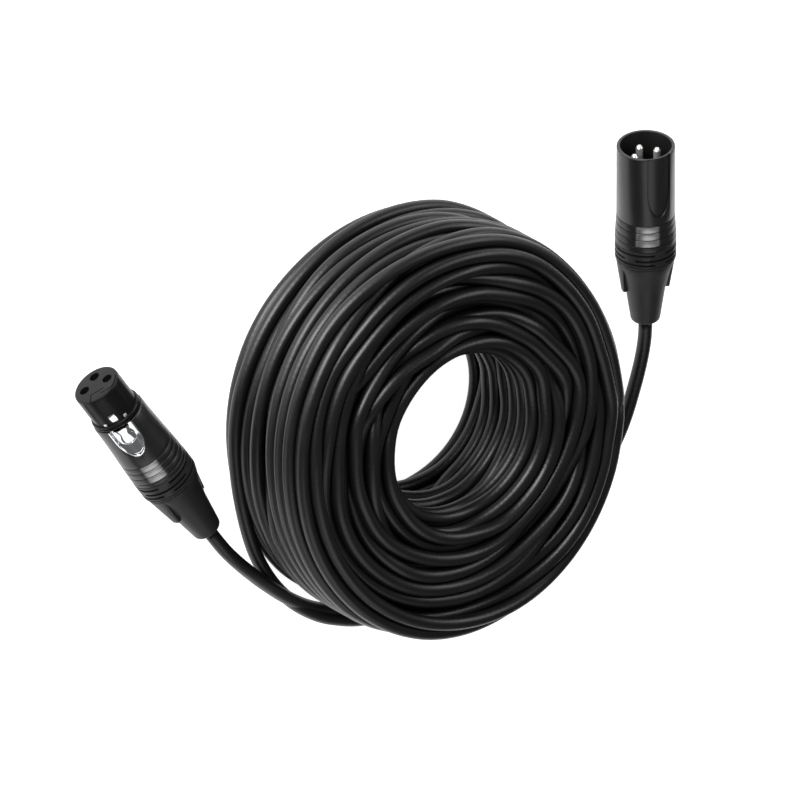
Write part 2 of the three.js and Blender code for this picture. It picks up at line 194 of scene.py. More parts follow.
def inside(place, inner, outer):
    """Pushes strand centres into the bundle's rounded section."""
    half = CABLE / 2
    mid = np.column_stack([(inner + outer) / 2, np.full(len(place), COIL_TOP / 2)])
    size = np.column_stack([(outer - inner) / 2 - half, np.full(len(place), COIL_TOP / 2 - half)])
    corner = COIL_ROUND - half
    off = place - mid
    away = np.abs(off) - (size - corner)
    in_corner = (away > 0).all(axis=-1)
    reach = np.linalg.norm(np.maximum(away, 0), axis=-1)
    scale = np.where(in_corner & (reach > corner), corner / np.maximum(reach, 1e-9), 1.0)
    fixed = np.sign(off) * ((size - corner) + away * scale[..., None])
    flat = np.clip(off, -size, size)
    return mid + np.where(in_corner[..., None], fixed, flat)


def spread(values, width):
    """A running mean along the strand, done twice."""
    kernel = np.ones(width) / width
    half = width // 2
    for _ in range(2):
        padded = np.concatenate([np.repeat(values[:1], half, 0), values, np.repeat(values[-1:], half, 0)])
        values = np.stack([np.convolve(padded[:, c], kernel, "valid") for c in range(values.shape[1])], axis=1)
    return values


def unkinked(place):
    """Eases every place where a strand would bend more tightly than TIGHTEST."""
    pull = np.zeros_like(place)
    pull[1:-1] = (place[:-2] + place[2:]) / 2 - place[1:-1]
    step = place[:, 0] * 2 * math.pi / SLICES
    allowed = step ** 2 / (2 * TIGHTEST)
    size = np.linalg.norm(pull, axis=1)
    return place + pull * (np.clip(1 - allowed / np.maximum(size, 1e-9), 0, 1) * UNKINK)[:, None]


def settle(place):
    """Pushes strands apart wherever they lie closer than a cable's width, keeping each one's curve gentle."""
    count = len(place)
    rows = -(-count // SLICES)
    start, end = place[:1].copy(), place[-1:].copy()
    inner, outer = wall_radii(count)
    limit = height_limit(count)
    hold = HOLD_PULL * (1 - eased(np.arange(HOLD) / HOLD))[:, None]
    for n in range(ROUNDS):
        grid = np.full((rows * SLICES, 2), np.nan)
        grid[:count] = place
        grid = grid.reshape(rows, SLICES, 2).transpose(1, 0, 2)
        gap = grid[:, :, None, :] - grid[:, None, :, :]
        dist = np.sqrt((gap ** 2).sum(-1))
        dist[:, np.arange(rows), np.arange(rows)] = np.nan
        near = np.nan_to_num(np.where(dist < CABLE, CABLE - dist, 0.0))
        direction = np.nan_to_num(gap / np.maximum(dist, 0.3)[..., None])
        push = (near[..., None] * direction * 0.5).sum(axis=2)
        push = push.transpose(1, 0, 2).reshape(-1, 2)[:count]
        late = n / ROUNDS
        width = next(slices for until, slices in PUSH_WIDTHS if late < until)
        soft = spread(push, width)
        place = place + PUSH_SPREAD * soft + PUSH_OWN * push
        if late < SMOOTH_UNTIL:
            place = place + SMOOTHING * (spread(place, 3) - place)
        for _ in range(UNKINK_TIMES):
            place = unkinked(place)
        place = inside(place, inner, outer)
        place[:, 1] = np.clip(place[:, 1], CABLE / 2 + FLOOR_GAP, limit)
        place[:HOLD] += (start - place[:HOLD]) * hold
        place[-HOLD:] += (end - place[-HOLD:]) * hold[::-1]
        place = unkinked(place)
        place[:1], place[-1:] = start, end
    return place


def coil_route(rng):
    """The wound strand from the female lead's end to the male lead's start, mm about the coil's centre."""
    count = LOOPS * SLICES + int(round((LEAVE - ENTER) / 360 * SLICES)) + 1
    place = first_guess(rng, count)
    for index, (x, y, z) in ((0, FEMALE_LEAD[-1]), (-1, MALE_LEAD[-1])):
        place[index] = math.hypot(x - COIL_OFF_CENTRE[0], y - COIL_OFF_CENTRE[1]), z
    place = settle(place)
    angle = slice_angles(count)
    x = COIL_OFF_CENTRE[0] + place[:, 0] * np.cos(angle)
    y = COIL_OFF_CENTRE[1] + place[:, 0] * np.sin(angle)
    return np.column_stack([x, y, place[:, 1]])


def curve_through(points, step):
    """Points on a smooth curve through the given ones, step apart."""
    points = np.array(points, float)
    chord = np.linalg.norm(np.diff(points, axis=0), axis=1)
    knots = np.concatenate([[0], np.cumsum(np.sqrt(chord))])
    tangent = np.gradient(points, knots, axis=0)
    fine = []
    for i in range(len(points) - 1):
        span = knots[i + 1] - knots[i]
        n = max(2, int(round(chord[i] / 0.5)))
        t = np.arange(n)[:, None] / n
        h00, h10 = 2 * t**3 - 3 * t**2 + 1, t**3 - 2 * t**2 + t
        h01, h11 = -2 * t**3 + 3 * t**2, t**3 - t**2
        fine.append(h00 * points[i] + h10 * span * tangent[i] + h01 * points[i + 1] + h11 * span * tangent[i + 1])
    fine = np.concatenate(fine + [points[-1:]])
    along = np.concatenate([[0], np.cumsum(np.linalg.norm(np.diff(fine, axis=0), axis=1))])
    want = np.linspace(0, along[-1], int(round(along[-1] / step)) + 1)
    return np.column_stack([np.interp(want, along, fine[:, c]) for c in range(3)]), along[-1]


def tube_mesh(name, centres, radius, sides):
    """A round tube whose rings stand square to the path and don't twist. Stores the distance along it."""
    heading = np.gradient(centres, axis=0)
    heading /= np.linalg.norm(heading, axis=1)[:, None]
    across = np.cross(heading, np.array([0, 0, 1.0]))
    across /= np.linalg.norm(across, axis=1)[:, None]
    lift = np.cross(across, heading)
    turn = np.arange(sides) * 2 * math.pi / sides
    rings = (centres[:, None] + radius * (np.cos(turn)[None, :, None] * across[:, None]
                                          + np.sin(turn)[None, :, None] * lift[:, None]))
    n = len(centres)
    i, j = np.meshgrid(np.arange(n - 1), np.arange(sides), indexing="ij")
    a = i * sides + j
    b = i * sides + (j + 1) % sides
    faces = np.stack([a, b, b + sides, a + sides], axis=-1).reshape(-1, 4)
    caps = [list(range(sides))[::-1], [(n - 1) * sides + k for k in range(sides)]]
    mesh = bpy.data.meshes.new(name)
    mesh.from_pydata(rings.reshape(-1, 3).tolist(), [], faces.tolist() + caps)
    mesh.polygons.foreach_set("use_smooth", [True] * len(faces) + [False] * 2)
    along = np.concatenate([[0], np.cumsum(np.linalg.norm(np.diff(centres, axis=0), axis=1))])
    store = mesh.attributes.new("along", "FLOAT", "POINT")
    store.data.foreach_set("value", np.repeat(along, sides).astype(np.float32))
    mesh.update()
    return mesh


def add(name, mesh):
    piece = bpy.data.objects.new(name, mesh)
    bpy.context.collection.objects.link(piece)
    return piece

# ---------------------------------------------------------------- materials
def material(name):
    mat = bpy.data.materials.new(name)
    mat.use_nodes = True
    return mat, mat.node_tree.nodes, mat.node_tree.links, mat.node_tree.nodes["Principled BSDF"]


def mapped(nodes, links, value, span, result):
    """A value remapped from the span to the result, held at its ends."""
    node = nodes.new("ShaderNodeMapRange")
    node.inputs["From Min"].default_value, node.inputs["From Max"].default_value = span
    node.inputs["To Min"].default_value, node.inputs["To Max"].default_value = result
    links.new(value, node.inputs["Value"])
    return node.outputs["Result"]


def grain(nodes, links, source, scale, detail=4.0, low=0.0, high=1.0):
    """A noise texture on the given coordinates, remapped to low..high."""
    noise = nodes.new("ShaderNodeTexNoise")
    noise.inputs["Scale"].default_value = scale
    noise.inputs["Detail"].default_value = detail
    links.new(source, noise.inputs["Vector"])
    return mapped(nodes, links, noise.outputs["Fac"], (0.3, 0.7), (low, high))


def bump(nodes, links, height, strength, distance, shader, under=None):
    node = nodes.new("ShaderNodeBump")
    node.inputs["Strength"].default_value = strength
    node.inputs["Distance"].default_value = distance
    links.new(height, node.inputs["Height"])
    if under:
        links.new(under, node.inputs["Normal"])
    links.new(node.outputs["Normal"], shader.inputs["Normal"])
    return node.outputs["Normal"]


RIB_WAVE = 0.0021  # from rib to rib along the cable


COARSE_GRAIN, FINE_GRAIN, JACKET_GLOSS_GRAIN, JACKET_GRAIN = 150.0, 2000.0, 90.0, 1400.0  # noise scales, per metre
JACKET_BUMP, PLUG_BUMP = 0.0001, 0.00005  # depths


def jacket_material():
    """Satin black PVC, with the faint lay of the strands under it showing as ribs across the cable."""
    mat, nodes, links, shader = material("jacket")
    shader.inputs["Base Color"].default_value = (0.0032, 0.0032, 0.0034, 1)
    shader.inputs["Specular IOR Level"].default_value = 0.40
    coords = nodes.new("ShaderNodeTexCoord").outputs["Object"]
    links.new(grain(nodes, links, coords, JACKET_GLOSS_GRAIN, 3.0, 0.35, 0.43), shader.inputs["Roughness"])
    along = nodes.new("ShaderNodeAttribute")
    along.attribute_name = "along"
    wave = nodes.new("ShaderNodeMath")
    wave.operation = "MULTIPLY"
    wave.inputs[1].default_value = 2 * math.pi / RIB_WAVE
    links.new(along.outputs["Fac"], wave.inputs[0])
    sine = nodes.new("ShaderNodeMath")
    sine.operation = "SINE"
    links.new(wave.outputs[0], sine.inputs[0])
    ribs = bump(nodes, links, sine.outputs[0], 0.05, JACKET_BUMP, shader)
    bump(nodes, links, grain(nodes, links, coords, JACKET_GRAIN, 2.0), 0.08, JACKET_BUMP, shader, ribs)
    return mat


def plain_material(name, color, roughness, metallic=0.0, vary=0.06, bumpy=0.06, coat=0.0, gloss=0.5):
    """One even finish with a little variation in its gloss and a fine grain."""
    mat, nodes, links, shader = material(name)
    coords = nodes.new("ShaderNodeTexCoord").outputs["Object"]
    shader.inputs["Base Color"].default_value = (*color, 1)
    shader.inputs["Metallic"].default_value = metallic
    shader.inputs["Coat Weight"].default_value = coat
    shader.inputs["Specular IOR Level"].default_value = gloss
    shader.inputs["Coat Roughness"].default_value = 0.12
    low, high = max(0.02, roughness - vary / 2), roughness + vary / 2
    links.new(grain(nodes, links, coords, COARSE_GRAIN, 3.0, low, high), shader.inputs["Roughness"])
    bump(nodes, links, grain(nodes, links, coords, FINE_GRAIN, 2.0), bumpy, PLUG_BUMP, shader)
    return mat


def blended(nodes, links, factor, first, second):
    """A mix of two colours, or of a node's colour and a fixed one."""
    node = nodes.new("ShaderNodeMix")
    node.data_type = "RGBA"
    links.new(factor, node.inputs["Factor"])
    if isinstance(first, tuple):
        node.inputs["A"].default_value = (*first, 1)
    else:
        links.new(first, node.inputs["A"])
    node.inputs["B"].default_value = (*second, 1)
    return node.outputs["Result"]


SHELL_BLACK = (0.009, 0.009, 0.0095)
# a lighter grey, painted on the shell as a highlight band
SHELL_PAINTED_HIGHLIGHT = (0.34, 0.34, 0.345)
# a near-black, painted on the shell's lining as shade
SHELL_LINING_PAINTED_SHADE = (0.0015, 0.0015, 0.0015)


def shell_material():
    """Black satin metal. Where the mesh's painted_light is 1, a lighter, more metallic colour paints a highlight
    band; at -1, a near-black colour paints shade on the lining.
    """
    mat = plain_material("black_metal", SHELL_BLACK, 0.34, coat=0.06)
    nodes, links = mat.node_tree.nodes, mat.node_tree.links
    shader = nodes["Principled BSDF"]
    mark = nodes.new("ShaderNodeAttribute")
    mark.attribute_name = "painted_light"
    bright = mapped(nodes, links, mark.outputs["Fac"], (0.0, 1.0), (0.0, 1.0))
    # Painted shade: on the lining inside the shell, a near-black, fully metallic colour stands in for shade and
    # kills its reflections.
    lining = mapped(nodes, links, mark.outputs["Fac"], (-1.0, 0.0), (1.0, 0.0))
    # Painted highlight: on the marked bands the colour turns lighter grey and more metallic, so a reflection shows
    # there.
    color = blended(nodes, links, bright, SHELL_BLACK, SHELL_PAINTED_HIGHLIGHT)
    links.new(blended(nodes, links, lining, color, SHELL_LINING_PAINTED_SHADE), shader.inputs["Base Color"])
    metal = nodes.new("ShaderNodeMath")
    metal.operation = "MAXIMUM"
    links.new(mapped(nodes, links, mark.outputs["Fac"], (0.0, 1.0), (0.2, 0.9)), metal.inputs[0])
    links.new(lining, metal.inputs[1])
    links.new(metal.outputs[0], shader.inputs["Metallic"])
    return mat


JACKET = jacket_material()
BLACK_METAL = shell_material()
BLACK_PLASTIC = plain_material("black_plastic", (0.005, 0.005, 0.0052), 0.30, gloss=0.14)
SOFT_PLASTIC = plain_material("soft_plastic", (0.0105, 0.0105, 0.0108), 0.46, vary=0.08, bumpy=0.12, gloss=0.32)
CHROME = plain_material("chrome", (0.80, 0.81, 0.83), 0.10, 1.0, bumpy=0.02, vary=0.04)
CONTACTS = plain_material("contacts", (0.72, 0.71, 0.69), 0.34, 0.85, bumpy=0.03)
WIRE_RED = plain_material("wire_red", (0.36, 0.015, 0.015), 0.42)
WIRE_WHITE = plain_material("wire_white", (0.62, 0.62, 0.60), 0.42)
WIRE_BARE = plain_material("wire_bare", (0.70, 0.36, 0.18), 0.30, 1.0, bumpy=0.25)
SLOT_MATERIALS = {
    "jacket": JACKET, "black_metal": BLACK_METAL, "black_plastic": BLACK_PLASTIC, "soft_plastic": SOFT_PLASTIC,
    "chrome": CHROME, "contacts": CONTACTS, "wire_red": WIRE_RED, "wire_white": WIRE_WHITE, "wire_bare": WIRE_BARE,
}


def finish_cad_nodes():
    """Every part carried over from the frame gets its slot's finish."""
    for part in frame["record"]["subparts"]:
        node = frame["nodes"][part["node"]]
        node.data.materials.clear()
        node.data.materials.append(SLOT_MATERIALS[part["material_slot"]])


finish_cad_nodes()


# ---------------------------------------------------------------- the cable
def cable_route():
    centre = np.array([COIL_CENTRE[0], COIL_CENTRE[1], 0.0])
    wound = coil_route(np.random.default_rng(SEED))
    points = FEMALE_LEAD[:-1] + [tuple(p) for p in wound] + MALE_LEAD[:-1][::-1]
    fine, length = curve_through(points, RING_STEP)
    return (fine + centre) * MM, length * MM


def cable():
    route, length = cable_route()
    mesh = tube_mesh("cable", route, CABLE / 2 * MM, RING_SIDES)
    mesh.materials.append(JACKET)
    piece = add("cable", mesh)
    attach(piece, "cable")
    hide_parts("cable_coil", "lead_to_female", "lead_to_male")
    return piece, route, length


CORD, CORD_ROUTE, CORD_LENGTH = cable()

# ------------------------------------------------------ mesh helpers for the plugs, mm on a plug's own axis
ROUND = 144  # facets of a turned piece


def plug_frame(mouth, yaw, pitch, roll):
    """The plug's own frame: +Z out of the mouth, +Y to the key. Mouth in mm, angles in degrees."""
    turn = (Matrix.Rotation(math.radians(yaw), 4, "Z") @ Matrix.Rotation(math.radians(90 - pitch), 4, "X")
            @ Matrix.Rotation(math.radians(roll), 4, "Z"))
    return Matrix.Translation(Vector(mouth) * MM) @ turn @ Matrix.Scale(MM, 4)


MALE = plug_frame((-106.6, -63.4, 15.5), 0, 7.5, -7.6)
FEMALE = plug_frame((109.3, -52.6, 8.1), 28.1, -5.5, -31.6)
MALE_LENGTH, FEMALE_LENGTH = 35.2, 39.2  # from the mouth to the shell's visible rear end
CONTACT_CIRCLE = 4.2
CONTACT_PLACES = [(CONTACT_CIRCLE * x, CONTACT_CIRCLE * y) for x, y in ((-1, 0), (0, -1), (1, 0))]


def rounded(points, steps=4):
    """Rounds the corners of a closed outline of (radius, distance behind the mouth, corner radius)."""
    out = []
    n = len(points)
    for i in range(n):
        corner = np.array(points[i][:2], float)
        r = points[i][2] if len(points[i]) > 2 else 0.0
        if r <= 0:
            out.append(tuple(corner))
            continue
        before = np.array(points[i - 1][:2], float) - corner
        after = np.array(points[(i + 1) % n][:2], float) - corner
        before /= np.linalg.norm(before)
        after /= np.linalg.norm(after)
        half = math.acos(max(-1.0, min(1.0, float(before @ after)))) / 2
        reach = r / math.tan(half)
        a, b = corner + before * reach, corner + after * reach
        for k in range(steps + 1):
            t = k / steps
            out.append(tuple((1 - t) ** 2 * a + 2 * t * (1 - t) * corner + t * t * b))
    return out


def turned(outline, facets=ROUND):
    """A solid of revolution from a closed outline of (radius, distance behind the mouth) points."""
    points = rounded(outline)
    bm = bmesh.new()
    on_axis = {}
    rings = []
    for i, (r, s) in enumerate(points):
        if r < 1e-6:
            on_axis[i] = bm.verts.new((0, 0, -s))
            rings.append([on_axis[i]] * facets)
        else:
            rings.append([bm.verts.new((r * math.sin(a), r * math.cos(a), -s))
                          for a in np.arange(facets) * 2 * math.pi / facets])
    for i in range(len(points)):
        one, two = rings[i], rings[(i + 1) % len(points)]
        if i in on_axis and (i + 1) % len(points) in on_axis:
            continue
        for k in range(facets):
            corners = [one[k], one[(k + 1) % facets], two[(k + 1) % facets], two[k]]
            corners = list(dict.fromkeys(corners))
            bm.faces.new(corners)
    return solid(bm)


def solid(bm):
    bmesh.ops.recalc_face_normals(bm, faces=bm.faces)
    mesh = bpy.data.meshes.new("solid")
    bm.to_mesh(mesh)
    bm.free()
    return mesh


def wrapped(columns, rows, place):
    """A closed slab bent round the axis. place(u, v) gives the angle from the key in degrees,
    the distance behind the mouth, and the inner and outer radius."""
    bm = bmesh.new()
    layers = [[], []]
    for u in columns:
        for layer in layers:
            layer.append([])
        for v in rows:
            angle, s, inner, outer = place(u, v)
            a = math.radians(angle)
            for layer, r in zip(layers, (inner, outer)):
                layer[-1].append(bm.verts.new((-r * math.sin(a), r * math.cos(a), -s)))
    low, high = layers
    nu, nv = len(columns), len(rows)
    for i in range(nu - 1):
        for j in range(nv - 1):
            bm.faces.new((low[i][j], low[i][j + 1], low[i + 1][j + 1], low[i + 1][j]))
            bm.faces.new((high[i][j], high[i + 1][j], high[i + 1][j + 1], high[i][j + 1]))
    for i in range(nu - 1):
        for j in (0, nv - 1):
            bm.faces.new((low[i][j], low[i + 1][j], high[i + 1][j], high[i][j]))
    for j in range(nv - 1):
        for i in (0, nu - 1):
            bm.faces.new((low[i][j], high[i][j], high[i][j + 1], low[i][j + 1]))
    return solid(bm)


def band(angle, half, s0, s1, inner, outer, step=3.0):
    """A slab of even radii from angle - half to angle + half."""
    columns = np.linspace(-1, 1, max(2, int(2 * half / step) + 1))
    return wrapped(columns, (0, 1), lambda u, v: (angle + u * half, s0 + v * (s1 - s0), inner, outer))


def block(x0, x1, y0, y1, s0, s1):
    bm = bmesh.new()
    corners = [bm.verts.new((x, y, -s)) for x in (x0, x1) for y in (y0, y1) for s in (s0, s1)]
    for f in ((0, 1, 3, 2), (4, 6, 7, 5), (0, 4, 5, 1), (2, 3, 7, 6), (0, 2, 6, 4), (1, 5, 7, 3)):
        bm.faces.new([corners[i] for i in f])
    return solid(bm)


def rod(x, y, radius, s0, s1, facets=48):
    mesh = turned([(0, s0), (radius, s0), (radius, s1), (0, s1)], facets)
    mesh.transform(Matrix.Translation((x, y, 0)))
    return mesh


def combine(mesh, tools, operation="DIFFERENCE"):
    """The mesh cut by, or joined with, each of the tools."""
    base = bpy.data.objects.new("base", mesh)
    bpy.context.collection.objects.link(base)
    helpers = []
    for tool in tools:
        helper = bpy.data.objects.new("tool", tool)
        bpy.context.collection.objects.link(helper)
        helpers.append(helper)
        step = base.modifiers.new("step", "BOOLEAN")
        step.operation = operation
        step.solver = "EXACT"
        step.object = helper
    result = evaluated(base)
    for helper in helpers + [base]:
        bpy.data.objects.remove(helper)
    return result


def evaluated(obj):
    bpy.context.view_layer.update()
    graph = bpy.context.evaluated_depsgraph_get()
    return bpy.data.meshes.new_from_object(obj.evaluated_get(graph), depsgraph=graph)


def softened(mesh, width=0.12, angle=32, segments=2):
    """Sharp edges rounded over a little."""
    base = bpy.data.objects.new("base", mesh)
    bpy.context.collection.objects.link(base)
    bevel = base.modifiers.new("bevel", "BEVEL")
    bevel.width = width
    bevel.segments = segments
    bevel.limit_method = "ANGLE"
    bevel.angle_limit = math.radians(angle)
    bevel.miter_outer = "MITER_ARC"
    result = evaluated(base)
    bpy.data.objects.remove(base)
    return result


def merged(meshes):
    bm = bmesh.new()
    for mesh in meshes:
        bm.from_mesh(mesh)
    mesh = bpy.data.meshes.new("merged")
    bm.to_mesh(mesh)
    bm.free()
    return mesh


LINING_RADIUS, HIGHLIGHT_FADE, GROOVE_HALF = 8.6, 5.0, 0.16


def mark_painted_light(mesh, grooves, middle, half, s0, s1):
    """Marks the painted highlight bands, by an angle from the key and a stretch along the shell, and the painted
    shade on the shell's lining.
    """
    place = np.empty(len(mesh.vertices) * 3)
    mesh.vertices.foreach_get("co", place)
    place = place.reshape(-1, 3)
    # Painted highlight: a band at a fixed angle round the shell, faded at its sides and broken at the grooves.
    angle = np.degrees(np.arctan2(-place[:, 0], place[:, 1]))
    off = np.abs((angle - middle + 180) % 360 - 180)
    across = np.clip((half + HIGHLIGHT_FADE / 2 - off) / HIGHLIGHT_FADE, 0, 1)
    s = -place[:, 2]
    along = ((s > s0) & (s < s1)).astype(float)
    for groove in grooves:
        along[np.abs(s - groove) < GROOVE_HALF] = 0.0
    # Painted shade: the inside of the shell within this radius is marked to be painted near-black.
    lining = (np.hypot(place[:, 0], place[:, 1]) < LINING_RADIUS) & (s > 0.5)
    store = mesh.attributes.new("painted_light", "FLOAT", "POINT")
    store.data.foreach_set("value", np.where(lining, -1.0, across * along).astype(np.float32))
    return mesh


def piece(name, mesh, place, mat, body, nodes=(), sharp=28):
    """Puts a plug's piece into the frame, riding on its body and standing for its CAD nodes."""
    mesh.name = name
    mesh.transform(place)
    mesh.materials.clear()
    mesh.materials.append(mat)
    mesh.polygons.foreach_set("use_smooth", [True] * len(mesh.polygons))
    mesh.set_sharp_from_angle(angle=math.radians(sharp))
    mesh.update()
    obj = add(name, mesh)
    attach(obj, body)
    if nodes:
        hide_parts(*nodes)
    return obj


def grooved(profile, places, width=0.46, depth=0.34):
    """Adds narrow grooves to a rising outline of (radius, distance) points."""
    out = [tuple(p) for p in profile]
    s_values = [p[1] for p in profile]
    r_values = [p[0] for p in profile]
    for s in places:
        r = float(np.interp(s, s_values, r_values))
        out += [(r, s - width / 2), (r - depth, s - width / 4), (r - depth, s + width / 4), (r, s + width / 2)]
    return sorted(out, key=lambda p: p[1])


# ---------------------------------------------------------------- behind the shell, the same on both plugs
NECK = 5.5
CABLE_BORE = 2.65
MALE_GROOVES = (25.7, 28.1, 30.7, 33.2)
FEMALE_GROOVES = (30.6, 33.0, 35.4, 37.8)
MALE_PAINTED_HIGHLIGHT = (-25, 21, 25.9, 33.0)  # middle and half its width in degrees, front and back
FEMALE_PAINTED_HIGHLIGHT = (1, 17, 30.8, 37.6)
MALE_WINGS, FEMALE_WINGS = -105, -45  # degrees from the key
SLOT_ROWS = ((1.5, 60), (3.55, 0), (5.15, 60))  # distance and the middle of the first slot from the key
SLOT_HALF = 48.5
SLOT_WIDTH = 0.84


def bushing(length):
    outside = [(10.0, 0.3, 0.2), (9.98, 6.15), (9.68, 6.25), (9.68, 6.5), (9.95, 6.6), (9.85, 7.1, 0.25)]
    outline = [(r, length + q, *rest) for r, q, *rest in outside]
    outline += [(5.6, length + 7.1), (5.6, length + 6.2), (8.4, length + 5.8), (8.4, length + 0.3)]
    slots = [band(middle + 120 * k, SLOT_HALF, length + q - SLOT_WIDTH / 2, length + q + SLOT_WIDTH / 2, 8.75, 11)
             for q, middle in SLOT_ROWS for k in range(3)]
    return softened(combine(turned(outline), slots), 0.08)


WING_HALF = (27.0, 13.0)  # degrees at its front and back
WING_LENGTH = 11.6
WING_RADII = (9.65, 7.95)


def boot(length, wing_angle):
    q0, q1 = length + 7.4, length + 31.3
    body = turned([
        (5.5, q0), (9.5, q0, 0.2), (9.35, q0 + 1.2), (8.35, q0 + 4.0), (6.5, q0 + 11.6), (4.75, q1, 1.2),
        (CABLE_BORE, q1, 0.3), (CABLE_BORE, q0 + 9), (5.5, q0 + 5.2),
    ])

    def wing(angle):
        def place(u, v):
            half = WING_HALF[0] + (WING_HALF[1] - WING_HALF[0]) * v ** 0.8
            crown = WING_RADII[0] + (WING_RADII[1] - WING_RADII[0]) * v
            return angle + u * half, q0 + 0.15 + v * WING_LENGTH, 5.9, crown - 0.25 * abs(u) ** 4
        return wrapped(np.linspace(-1, 1, 15), np.linspace(0, 1, 13), place)
    both = combine(body, [wing(wing_angle), wing(wing_angle + 180)], "UNION")
    return softened(both, 0.16)


def chuck(length):
    body = turned([
        (CABLE_BORE, length - 1), (6.4, length - 1, 0.3), (6.4, length + 4, 0.3), (5.2, length + 5.5, 0.2),
        (5.2, length + 9.5), (4.6, length + 12, 0.2), (CABLE_BORE, length + 12),
    ], 64)
    s0, s1 = length + 3.5, length + 13
    slots = [block(-8, 8, -0.5, 0.5, s0, s1), block(-0.5, 0.5, -8, 8, s0, s1)]
    return softened(combine(body, slots), 0.1)


def rear(prefix, length, place, wing_angle):
    """The ring, the boot and the chuck."""
    gland, clamp = prefix + "_gland", prefix + "_clamp"
    piece(prefix + "_bushing_slotted", bushing(length), place, SOFT_PLASTIC, gland, [prefix + "_bushing"])
    piece(prefix + "_boot_winged", boot(length, wing_angle), place, SOFT_PLASTIC, gland, [prefix + "_boot"])
    piece(prefix + "_chuck_round", chuck(length), place, BLACK_PLASTIC, clamp, [prefix + "_chuck"])


# ---------------------------------------------------------------- male plug
KEY_HALF, KEY_STRAIGHT, KEY_END, KEY_DEPTH = 4.3, 11.0, 22.6, 0.42
KEY_MOAT = 0.3


def key_recess():
    """The shallow tongue in the shell's side that shows the key, with a finer line round its edge."""
    def place(u, v):
        x = KEY_HALF * math.sin(u * math.pi / 2)
        end = KEY_STRAIGHT + (KEY_END - KEY_STRAIGHT) * math.cos(u * math.pi / 2)
        s = -1 + v * (end + 1)
        edge = min(KEY_HALF - abs(x), (end - s) * 0.75)
        deep = 0.26 if edge < KEY_MOAT else 0.0
        return math.degrees(math.asin(x / 9.5)), s, 9.5 - KEY_DEPTH - deep, 11.0
    rows = np.concatenate([np.linspace(0, 0.55, 12), np.linspace(0.58, 1, 40)])
    return wrapped(np.linspace(-1, 1, 61), rows, place)


def male_shell():
    outside = grooved([(9.5, 1.0), (9.5, 25.5), (9.72, 29.0), (10.0, 33.0), (10.0, 34.9)], MALE_GROOVES)
    outline = [(8.4, 0, 0.2), (9.5, 0, 0.3)] + outside + [
        (10.0, 35.2), (8.1, 35.2), (8.1, 35.2 + NECK), (6.8, 35.2 + NECK), (6.8, 34.0), (8.4, 33.0),
    ]
    return softened(combine(turned(outline), [key_recess()]), 0.06)


def male_insert():
    disc = turned([(0, 14.5), (8.1, 14.5, 0.3), (8.1, 25), (0, 25)])
    collars = [turned([(0, 14.0), (2.1, 14.0, 0.2), (2.1, 15.0), (0, 15.0)], 48) for _ in CONTACT_PLACES]
    for mesh, (x, y) in zip(collars, CONTACT_PLACES):
        mesh.transform(Matrix.Translation((x, y, 0)))
    holes = [rod(x, y, 1.5, 10, 30) for x, y in CONTACT_PLACES]
    return combine(combine(disc, collars, "UNION"), holes + [block(-1.9, 1.9, 6.8, 9, 16.5, 26)])


def pin():
    return turned([
        (0, 2.4), (0.62, 2.4, 0.25), (1.2, 3.2, 0.5), (1.2, 25.4), (1.15, 25.4), (1.15, 28.4), (0.75, 28.4),
        (0.75, 26.2), (0, 26.2),
    ], 40)


def male_plug():
    # the shell gets a painted highlight band and painted shade on its lining
    shell = mark_painted_light(male_shell(), MALE_GROOVES, *MALE_PAINTED_HIGHLIGHT)
    piece("male_shell_turned", shell, MALE, BLACK_METAL, "cable", ["male_shell"])
    piece("male_insert_turned", male_insert(), MALE, BLACK_PLASTIC, "cable", ["male_insert"])
    for (x, y), number in zip(CONTACT_PLACES, (2, 3, 1)):
        name = "male_pin_%d" % number
        piece(name + "_turned", pin(), MALE @ Matrix.Translation((x, y, 0)), CONTACTS, "cable", [name])
    rear("male", MALE_LENGTH, MALE, MALE_WINGS)


# ---------------------------------------------------------------- female plug
WINDOW_HALF, WINDOW_FRONT = 1.45, 7.3


def face_line(points, width=0.4, depth=0.3):
    """A fine groove in the nose's face through the given points."""
    tools = []
    for (x0, y0), (x1, y1) in zip(points, points[1:]):
        length = math.hypot(x1 - x0, y1 - y0)
        tool = block(-width / 2, length + width / 2, -width / 2, width / 2, -0.5, depth)
        tool.transform(Matrix.Translation((x0, y0, 0)) @ Matrix.Rotation(math.atan2(y1 - y0, x1 - x0), 4, "Z"))
        tools.append(tool)
    return tools


def nose():
    body = turned([
        (0, 0), (8.0, 0, 0.7), (8.0, 11.3), (7.4, 11.3), (7.4, 13.4), (8.0, 13.4), (8.0, 30), (0, 30),
    ])
    ribs = [band(side * angle, 1.3, 0.75, 11.2, 7.6, 8.13, 0.8) for side in (-1, 1) for angle in (40.5, 46.5)]
    body = combine(body, ribs, "UNION")
    holes = [rod(x, y, 1.7, -1, 31) for x, y in CONTACT_PLACES]
    window = block(-WINDOW_HALF, WINDOW_HALF, 4.6, 9, WINDOW_FRONT, 31)
    pocket = block(-4.5, 4.5, 5.0, 9, 13.4, 31)
    seat = block(-2.2, 2.2, -9, -6.7, 18.1, 31)
    key = face_line([(2.9, 7.2), (2.2, 4.0), (-2.3, 3.6)])
    edge = [(7.25 * math.cos(a), 7.25 * math.sin(a)) for a in np.radians(range(176, 135, -8))]
    key += face_line([(-1.5, 5.4), (-4.7, 5.2)] + edge[::-1])
    return softened(combine(body, holes + [window, pocket, seat] + key), 0.07)


def collar():
    return turned([
        (7.7, 11.5), (8.55, 11.5, 0.25), (8.75, 12.0), (8.75, 12.2), (8.4, 12.3), (8.4, 12.55), (8.75, 12.65),
        (8.75, 13.1, 0.2), (7.7, 13.1),
    ])


RECESS_HALF, RECESS_STRAIGHT, RECESS_END = 4.5, 17.0, 26.4


